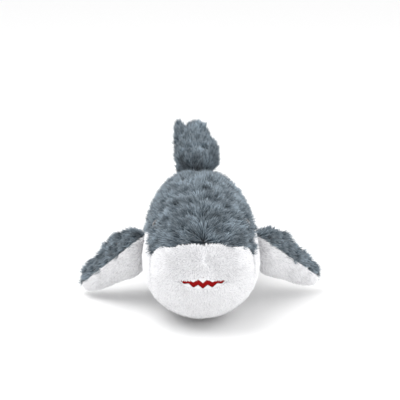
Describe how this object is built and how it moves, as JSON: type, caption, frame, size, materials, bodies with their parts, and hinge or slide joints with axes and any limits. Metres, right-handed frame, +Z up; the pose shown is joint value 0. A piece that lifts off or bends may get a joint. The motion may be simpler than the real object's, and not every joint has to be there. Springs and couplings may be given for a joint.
{
  "type": "plush shark",
  "caption": "Soft plush shark lying on its belly, with grey fur on its back, white fur below, a red felt mouth with white teeth, and floppy fins and tail.",
  "frame": {"origin": "on the surface that the shark lies on, under the middle of its outer box", "axes": "+Y runs from the nose to the tail, +Z is up, and +X is the shark's own left"},
  "size_m": [0.2748, 0.3946, 0.1798],
  "materials": {
    "grey_fur": "soft grey faux fur, dark at the roots and lighter at the tips",
    "white_fur": "short dense white plush pile",
    "red_felt": "dark red felt",
    "white_felt": "white felt",
    "eye_plastic": "glossy black",
    "washer_plastic": "natural white plastic",
    "fibre_fill": "lofty white polyester fibre",
    "thread": "twisted white thread",
    "label_tape": "white satin tape, blank"
  },
  "bodies": {
    "torso": {"back_panel_left": "grey_fur", "back_panel_right": "grey_fur", "muzzle_panel_left": "white_fur", "muzzle_panel_right": "white_fur", "jaw_panel": "white_fur", "belly_panel_left": "white_fur", "belly_panel_right": "white_fur", "mouth_lining": "red_felt", "upper_teeth": "white_felt", "lower_teeth": "white_felt", "eye_left": "eye_plastic", "eye_right": "eye_plastic", "eye_washer_left": "washer_plastic", "eye_washer_right": "washer_plastic", "torso_stuffing": "fibre_fill", "closing_stitches": "thread", "care_label": "label_tape"},
    "fin_left": {"fin_left_top_panel": "grey_fur", "fin_left_bottom_panel": "white_fur", "fin_left_stuffing": "fibre_fill"},
    "fin_right": {"fin_right_top_panel": "grey_fur", "fin_right_bottom_panel": "white_fur", "fin_right_stuffing": "fibre_fill"},
    "dorsal_fin": {"dorsal_left_panel": "grey_fur", "dorsal_right_panel": "grey_fur", "dorsal_stuffing": "fibre_fill"},
    "tail_stock": {"tail_stock_left_panel": "grey_fur", "tail_stock_right_panel": "grey_fur", "tail_stock_belly_panel": "white_fur", "tail_stock_stuffing": "fibre_fill"},
    "tail_fin": {"tail_fin_left_panel": "grey_fur", "tail_fin_right_panel": "grey_fur", "tail_fin_stuffing": "fibre_fill"}
  },
  "joints": [
    {"name": "fin_left_flap", "type": "hinge", "parent": "torso", "child": "fin_left", "pos_m": [0.072, -0.0693, 0.066], "axis": [0, -0.8988, 0.4384], "range_deg": [0, 40], "stiffness_Nm_per_rad": 0.12},
    {"name": "fin_right_flap", "type": "hinge", "parent": "torso", "child": "fin_right", "pos_m": [-0.072, -0.0693, 0.066], "axis": [0, 0.8988, -0.4384], "range_deg": [0, 40], "stiffness_Nm_per_rad": 0.12},
    {"name": "dorsal_fin_flop", "type": "hinge", "parent": "torso", "child": "dorsal_fin", "pos_m": [0, 0.0247, 0.141], "axis": [0.0102, 0.9563, -0.2922], "range_deg": [-22, 22], "stiffness_Nm_per_rad": 0.12},
    {"name": "tail_swing", "type": "hinge", "parent": "torso", "child": "tail_stock", "pos_m": [0, 0.0977, 0.08], "axis": [0, 0, 1], "range_deg": [-22, 22], "stiffness_Nm_per_rad": 0.4},
    {"name": "tail_fin_swing", "type": "hinge", "parent": "tail_stock", "child": "tail_fin", "pos_m": [0, 0.1487, 0.08], "axis": [0, 0, 1], "range_deg": [-25, 25], "stiffness_Nm_per_rad": 0.15}
  ]
}
